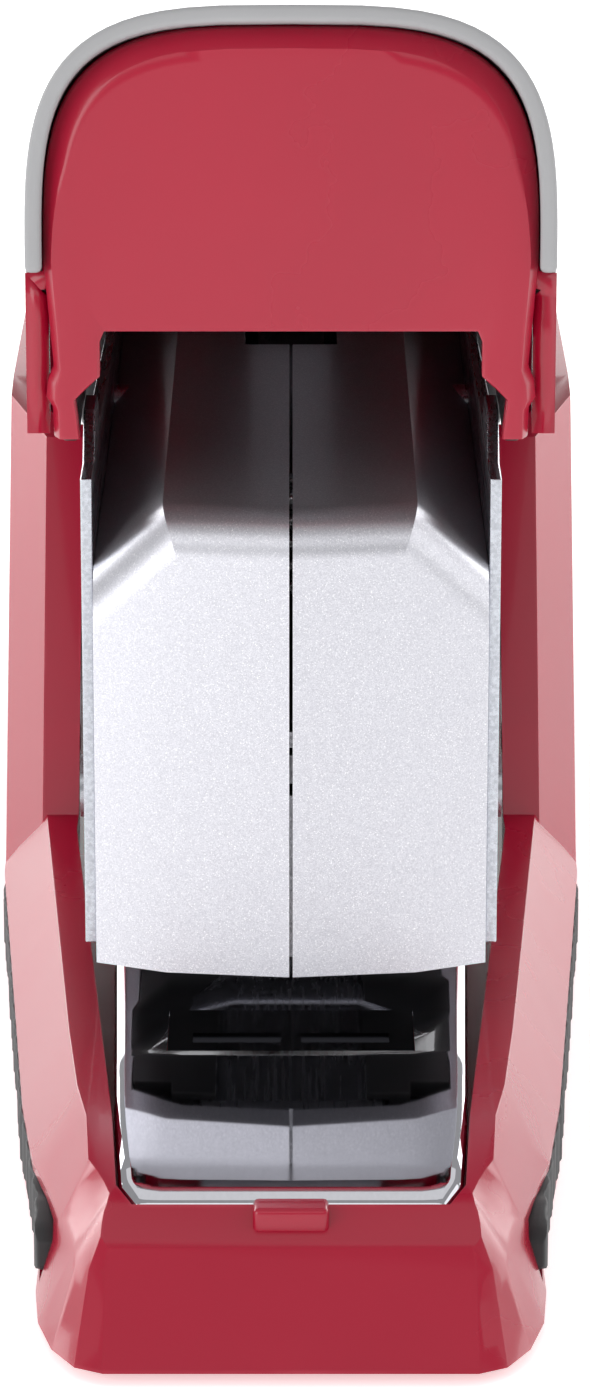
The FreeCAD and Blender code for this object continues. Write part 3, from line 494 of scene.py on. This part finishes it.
def nose(name, node_name):
    """Half of the nose, with a broad round where its front turns into its roof."""
    form = merged_copy(node_name)
    peak = [vert for vert in form.verts if vert.co.y < PEAK_BACK and vert.co.z > PEAK_LOW]
    bmesh.ops.remove_doubles(form, verts=peak, dist=PEAK_MERGE)
    brow = [edge for edge in form.edges if is_brow(edge)]
    print(name, "brow edges:", len(brow))
    bmesh.ops.bevel(form, geom=brow, offset=BROW_ROUND, offset_type="OFFSET", segments=6, profile=0.5,
                    affect="EDGES", clamp_overlap=True, material=-1)
    bevel_sharp(form, 0.25 * MM)
    return flat_shaded(finish_piece(name, form, "housing", "nose_silver", node_name))

# %% Base, nose, frames and feet
refined("base_casing", "base_shell", 0.45 * MM)
nose("nose_left", "left_housing")
nose("nose_right", "right_housing")
refined("side_plate_left", "left_frame", 0.12 * MM, segments=2)
refined("side_plate_right", "right_frame", 0.12 * MM, segments=2)
for foot in ("front_foot", "rear_foot"):
    refined(f"{foot}_rubber", foot, 0.4 * MM, segments=4)

# %% [markdown]
# ## Shells laid on a grid
# The handle is one smooth arch that grows wider and lower towards its hinge. Flat facets can't show that,
# and a sculpted blob would lose its even lines. So a grid gets a line at each station across and along,
# and every point is put on the arch. Two stations close together make a crisp step.

# %% Laying a grid
def laid_grid(across, along, place):
    """A grid with a line at each station, its points put on a surface in millimetres."""
    form = bmesh.new()
    columns, rows = len(across) - 1, len(along) - 1
    bmesh.ops.create_grid(form, x_segments=columns, y_segments=rows, size=0.5)
    for vert in form.verts:
        column, row = round((vert.co.x + 0.5) * columns), round((vert.co.y + 0.5) * rows)
        vert.co = Vector(place(across[column], along[row])) * MM
    return form


def spread(low, high, count):
    """Even stations from low to high."""
    return [low + (high - low) * step / count for step in range(count + 1)]


def between(pairs, where):
    """The value at a place, on straight lines through (place, value) pairs."""
    for (start, first), (end, last) in zip(pairs, pairs[1:]):
        if where <= end:
            break
    share = min(1.0, max(0.0, (where - start) / (end - start)))
    return first + (last - first) * share


def thicken(piece, wall, edge=0.0):
    """Gives a sheet its wall on the inner side, and rounds the wall's edges."""
    solid = piece.modifiers.new("wall", "SOLIDIFY")
    solid.thickness, solid.offset = wall * MM, -1.0
    if edge:
        rounding = piece.modifiers.new("edges", "BEVEL")
        rounding.width, rounding.segments, rounding.limit_method = edge * MM, 3, "ANGLE"
        rounding.angle_limit = radians(40)
    return piece

# %% Where the handle lies
PAD_LOW, PAD_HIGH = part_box("handle_pad")
SHELL_LOW, SHELL_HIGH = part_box("handle_shell")
PAD_FRONT, PAD_REAR = PAD_LOW[1] / MM, PAD_HIGH[1] / MM
HANDLE_FRONT, HANDLE_REAR = SHELL_LOW[1] / MM, SHELL_HIGH[1] / MM
ROUNDNESS = 2 / 3.5
SHOULDER_DROP = 17.4
PAD_WALL = 1.1
SEAT = PAD_WALL + 0.05
CORNER = 4.0
ROOF = [(PAD_FRONT, PAD_HIGH[2] / MM), (HANDLE_REAR - 0.8, 49.65), (HANDLE_REAR, 49.1)]
WIDTH = [(PAD_FRONT, 17.2), (23, 20.8), (72, 20.8), (HANDLE_REAR - 0.6, 17.3), (HANDLE_REAR, 16.6)]
FLANK_LOW = [(HANDLE_FRONT, 55.8), (23, 49.0), (25, 48.8), (25.8, 46), (26.3, 40), (26.6, 34), (27.2, 32)]
print("handle from", round(HANDLE_FRONT, 1), "to", round(HANDLE_REAR, 1), "mm along")

# %% The handle's arch
def arch_point(turn, y, inset=0.0):
    """A point on the arch: turn goes from 0 at the left side, over the top, to pi at the right."""
    side = -cos(turn)
    x = copysign((between(WIDTH, y) - inset) * abs(side) ** ROUNDNESS, side)
    rise = (SHOULDER_DROP - inset) * abs(sin(turn)) ** ROUNDNESS
    return x, y, between(ROOF, y) - SHOULDER_DROP + rise


def corner_shift(turn, y):
    """How far forward the lines go near the sides, so that the pad's rear corners are round."""
    near = between([(PAD_REAR - 14, 0), (PAD_REAR, 1), (PAD_REAR + 12, 0)], y)
    return CORNER * near * abs(cos(turn)) ** 10


def arch_stations(count, power):
    """Turns from side to side, closer together near the sides."""
    left = [pi / 2 * (step / count) ** power for step in range(1, count + 1)]
    return left + [pi - turn for turn in reversed(left[:-1])]

# %% [markdown]
# ### Handle cover
# Below the arch come upright flanks, and at the rear a skirt. The cover steps in under the soft grip, so
# that the grip has a seat, and one flat face closes its rear before the sheet gets its wall.

# %% Handle cover's surface
def cover_point(across, y):
    """A point on the cover: on its left flank below 0, on its arch up to pi, then on its right flank."""
    turn = min(max(across, 0.0), pi)
    seated = y <= PAD_REAR and 0.0 < across < pi
    x, y, z = arch_point(turn, y, SEAT if seated else 0.0)
    low = between(FLANK_LOW, y)
    if z < low:
        x, z = copysign(between(WIDTH, y), x), low
    return x, y - corner_shift(turn, y), z + (low - z) * max(-across, across - pi, 0.0)


# %% Handle cover
EDGE_STEP = 0.0002
flank = [1.0, 0.7, 0.4, 0.15, 0.0]
cover_across = ([-down for down in flank] + [EDGE_STEP] + arch_stations(30, 2.2)
                + [pi - EDGE_STEP] + [pi + down for down in reversed(flank)])
cover_along = (spread(HANDLE_FRONT, PAD_REAR, 9) + [PAD_REAR + 0.05] + spread(PAD_REAR + 3, 23, 8)
               + [25, 25.8, 26.3, 26.6, 27.2] + spread(30, 72, 8) + [74, 76, 78, HANDLE_REAR - 0.8]
               + spread(HANDLE_REAR - 0.5, HANDLE_REAR, 2))
cover_form = laid_grid(cover_across, cover_along, cover_point)
bmesh.ops.remove_doubles(cover_form, verts=cover_form.verts, dist=0.000002)
rear_line = [vert for vert in cover_form.verts if vert.co.y > HANDLE_REAR * MM - 0.000001]
rear_wall = bmesh.ops.contextual_create(cover_form, geom=rear_line)["faces"][0]
rear_wall.normal_update()
if rear_wall.normal.y < 0:
    rear_wall.normal_flip()
print("rear wall:", len(rear_wall.verts), "corners")
thicken(finish_piece("handle_cover", cover_form, "handle", "handle_red", "handle_shell"), 1.5)

# %% [markdown]
# ## Soft grip
# A grey rubber skin is moulded over the front of the handle. It is the same arch, so it fits its seat all
# round, with a rounded lip where it stands proud of the face.

# %% Soft grip
def pad_point(across, y):
    """A point on the outside of the soft grip."""
    x, y, z = arch_point(across, y)
    return x, y - corner_shift(across, y), z


pad_form = laid_grid([0.0] + arch_stations(26, 1.6) + [pi], spread(PAD_FRONT, PAD_REAR, 16), pad_point)
thicken(finish_piece("soft_grip", pad_form, "handle", "grip_grey", "handle_pad"), PAD_WALL, 0.35)

# %% [markdown]
# ## Face plate
# The glossy face fills the front of the arch and ends in two legs beside the opening. Its lines run from
# the outline in to the opening, so the slope round its edge is just two of those lines at other depths.

# %% Face plate's lines
FACE_BACK, FACE_FRONT = HANDLE_FRONT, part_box("face_plate")[0][1] / MM
LEG = [((15.5, 55.8), (15.1, 55.8), (13.8, 55.8)), ((15.6, 57.8), (15.15, 57.7), (14.0, 57.6)),
       ((16.0, 58.4), (15.4, 58.4), (14.1, 58.4)), ((15.9, 59.5), (15.3, 59.4), (13.3, 59.2)),
       ((15.5, 60.5), (15.0, 60.4), (12.45, 60.0)), ((15.75, 63.5), (15.2, 63.3), (12.45, 62.3))]
OPENING_TOP = 63.0


def face_column(turn):
    """The outline, the inner edge of the slope, and the opening's edge at one turn of the arch."""
    slope = between([(0.0, 0.55), (0.12, 0.8), (0.3, 1.2)], min(turn, pi - turn))
    outer, ring = (arch_point(turn, FACE_BACK, SEAT + inset) for inset in (0.05, 0.05 + slope))
    return (outer[0], outer[2]), (ring[0], ring[2]), (-12.15 * cos(turn), OPENING_TOP)


print("opening's top edge at", OPENING_TOP, "mm")

# %% Face plate
mirrored_leg = [tuple((-x, z) for x, z in column) for column in LEG]
face_across = mirrored_leg + [face_column(turn) for turn in arch_stations(26, 1.6)] + LEG[::-1]
face_along = [(0.0, 0.0, 0.0), (0.0, 0.0, 0.25), (0.1, 0.0, 0.45), (0.9, 0.0, 0.92), (1.0, 0.0, 0.98),
              (1.0, 0.04, 1.0), (1.0, 0.5, 1.0), (1.0, 0.94, 1.0), (1.0, 1.0, 0.92), (1.0, 1.0, 0.0),
              (0.5, 0.5, 0.0), (0.0, 0.0, 0.0)]


def face_point(column, row):
    """A point of the face plate, from its outline in to the opening and round to its back."""
    on_slope, on_panel, forward = row
    (x, z), ring, inner = column
    x, z = x + (ring[0] - x) * on_slope, z + (ring[1] - z) * on_slope
    x, z = x + (inner[0] - x) * on_panel, z + (inner[1] - z) * on_panel
    return x, FACE_BACK + (FACE_FRONT - FACE_BACK) * forward, z


face_form = laid_grid(face_across, face_along, face_point)
bmesh.ops.remove_doubles(face_form, verts=face_form.verts, dist=0.000002)
bmesh.ops.holes_fill(face_form, edges=[edge for edge in face_form.edges if edge.is_boundary], sides=0)
bmesh.ops.recalc_face_normals(face_form, faces=face_form.faces)
finish_piece("front_plate", face_form, "handle", "face_red", "face_plate", smooth=radians(35))

# %% [markdown]
# ## Inside of the handle
# Dark blocks stand inside the handle's sides behind the legs as painted shade, so that the gaps there read as
# shadow, and a round cap closes each end of its hinge.
# Both are small, so a rounded block and a flattened ball are enough.

# %% Blocks and caps
def block(name, low, high, edge, body, slot):
    """A rounded block between two corners in millimetres."""
    form = bmesh.new()
    bmesh.ops.create_cube(form, size=1.0)
    bmesh.ops.scale(form, vec=(Vector(high) - Vector(low)) * MM, verts=form.verts)
    bmesh.ops.translate(form, vec=(Vector(high) + Vector(low)) * MM / 2, verts=form.verts)
    bevel_sharp(form, edge * MM, segments=3)
    return finish_piece(name, form, body, slot)


def cap(name, place, radius, flat, body, slot):
    """A shallow dome that faces sideways."""
    form = bmesh.new()
    bmesh.ops.create_uvsphere(form, u_segments=32, v_segments=16, radius=radius * MM)
    bmesh.ops.scale(form, vec=(flat, 1.0, 1.0), verts=form.verts)
    bmesh.ops.translate(form, vec=Vector(place) * MM, verts=form.verts)
    return finish_piece(name, form, body, slot)


hinge_y, hinge_z = (HINGES["handle_hinge"]["pos_m"][axis] / MM for axis in (1, 2))
for label, side in (("left", -1), ("right", 1)):
    near, far = sorted((14.25 * side, 15.4 * side))
    # Painted shade: dark blocks behind the legs and under the roof make the handle's inside read as shadow.
    block(f"{label}_shade_block", (near, -56.8, 55.9), (far, -48.5, 70.0), 0.3, "handle", "guide_black")
    block(f"{label}_low_shade_block", (near, -49.0, 53.2), (far, -30.0, 70.0), 0.3, "handle", "guide_black")
    near, far = sorted((14.95 * side, 16.1 * side))
    block(f"{label}_rear_shade_block", (near, 2.0, 41.5), (far, 22.0, 62.0), 0.3, "handle", "guide_black")
    cap(f"{label}_hinge_cap", (20.75 * side, hinge_y, hinge_z), 2.7, 0.2, "handle", "pin_steel")
    cap(f"{label}_rivet", (13.6 * side, -56.3, 62.2), 0.75, 0.7, "handle", "plate_steel")

# %% [markdown]
# ## Polished plate and lip
# The plate is one strip of bright steel with folded sides. Its front dips and rolls down to the lip, and
# that roll is what bends the reflections, so it gets many lines. A small tab on the lip holds it down.

# %% Polished plate
ANVIL_LOW, ANVIL_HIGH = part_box("anvil")
HOLE_X, HOLE_FRONT, HOLE_REAR = 8.5, ANVIL_LOW[1] / MM - 0.05, ANVIL_HIGH[1] / MM + 0.05
PLATE_TOP = [(-75.45, 8.7), (-75.2, 9.02), (-74.6, 9.4), (-73.8, 9.78), (-73, 10.07), (-72, 10.38),
             (-70, 10.6), (-57, 11.74), (-56, 11.79), (-55, 11.8), (24, 11.8)]
PLATE_HALF = [(-75.45, 10.15), (-73.6, 11.25), (-66, 11.75), (-6.4, 13.6), (24, 13.6)]
FOLD = [(0.0, 2.6), (0.0, 0.9), (0.06, 0.5), (0.2, 0.22), (0.5, 0.05), (0.9, 0.0)]


def plate_point(across, y):
    """A point on the plate's top, or on the fold along one of its sides."""
    top = between(PLATE_TOP, y)
    if len(across) == 1:
        return across[0], y, top
    side, inward, drop = across
    return side * (between(PLATE_HALF, y) - inward), y, top - drop


left_fold = [(-1, inward, drop) for inward, drop in FOLD]
right_fold = [(1, inward, drop) for inward, drop in reversed(FOLD)]
plate_along = ([-75.45, -75.2, -74.9, -74.6, -74.2, -73.8, -73.4, -73, -72.5, -72, -71, -70]
               + spread(-68, -57, 5) + [-56, HOLE_FRONT, HOLE_REAR] + spread(-40, 24, 8))
plate_form = laid_grid(left_fold + [(x,) for x in (-HOLE_X, -4, 0, 4, HOLE_X)] + right_fold,
                       plate_along, plate_point)
hole = [face for face in plate_form.faces if abs(face.calc_center_median().x) < HOLE_X * MM
        and HOLE_FRONT * MM < face.calc_center_median().y < HOLE_REAR * MM]
bmesh.ops.delete(plate_form, geom=hole, context="FACES")
thicken(finish_piece("mirror_plate", plate_form, "base", "plate_steel", "base_plate"), 1.0)
block("lip_tab", (-2.45, -77.5, 7.6), (2.45, -75.3, 9.4), 0.35, "base", "base_red")

# %% [markdown]
# ## Side grips
# A black rubber strip runs along each side of the base, with soft waves that fingers can hold. The plain
# strip is cut into short lengths with planes, and the waves move its outer side in and out.

# %% Side grips
WAVE, WAVE_DEPTH, END_RUN, CUTS = 3.4, 0.22, 3.0, 120


def wavy_grip(name, node_name, side):
    """A rubber strip whose outer side waves and whose ends taper."""
    form = merged_copy(node_name)
    low, high = (corner[1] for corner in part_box(node_name))
    for y in spread(low, high, CUTS)[1:-1]:
        bmesh.ops.bisect_plane(form, geom=form.verts[:] + form.edges[:] + form.faces[:], dist=0.0000001,
                               plane_co=(0, y, 0), plane_no=(0, 1, 0))
    middle = sum(vert.co.z for vert in form.verts) / len(form.verts)
    for vert in form.verts:
        end = min(vert.co.y - low, high - vert.co.y) / (END_RUN * MM)
        taper = 1 - min(1.0, end) ** 0.5
        wave = 0.5 + 0.5 * cos(2 * pi * vert.co.y / (WAVE * MM))
        vert.co.x -= side * MM * (WAVE_DEPTH * wave + 0.25 * taper)
        vert.co.z = middle + (vert.co.z - middle) * (1 - 0.5 * taper - 0.05 * wave)
    bevel_sharp(form, 0.15 * MM, segments=2, angle=radians(50))
    finish_piece(name, form, "base", "side_rubber", node_name, smooth=radians(50))


wavy_grip("left_wavy_grip", "left_grip", -1)
wavy_grip("right_wavy_grip", "right_grip", 1)

# %% [markdown]
# ## Springs
# A coil gets shorter as its joint moves, which a rigid copy can't show. Here each of these is only a
# copy of its solid with a mesh of its own; nothing flattens it. The spring that lifts the housing keeps its
# length, because the housing turns further up from it than down onto it.

# %% Spring copies
def shortening(node_name):
    """A copy of a spring with a mesh of its own, which stands for its solid."""
    piece = finish_piece(f"{node_name}_coil", merged_copy(node_name), BODY_OF[node_name],
                         SLOT_OF[node_name], node_name)
    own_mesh(piece)


shortening("power_spring")
shortening("handle_spring")
shortening("pusher_spring")
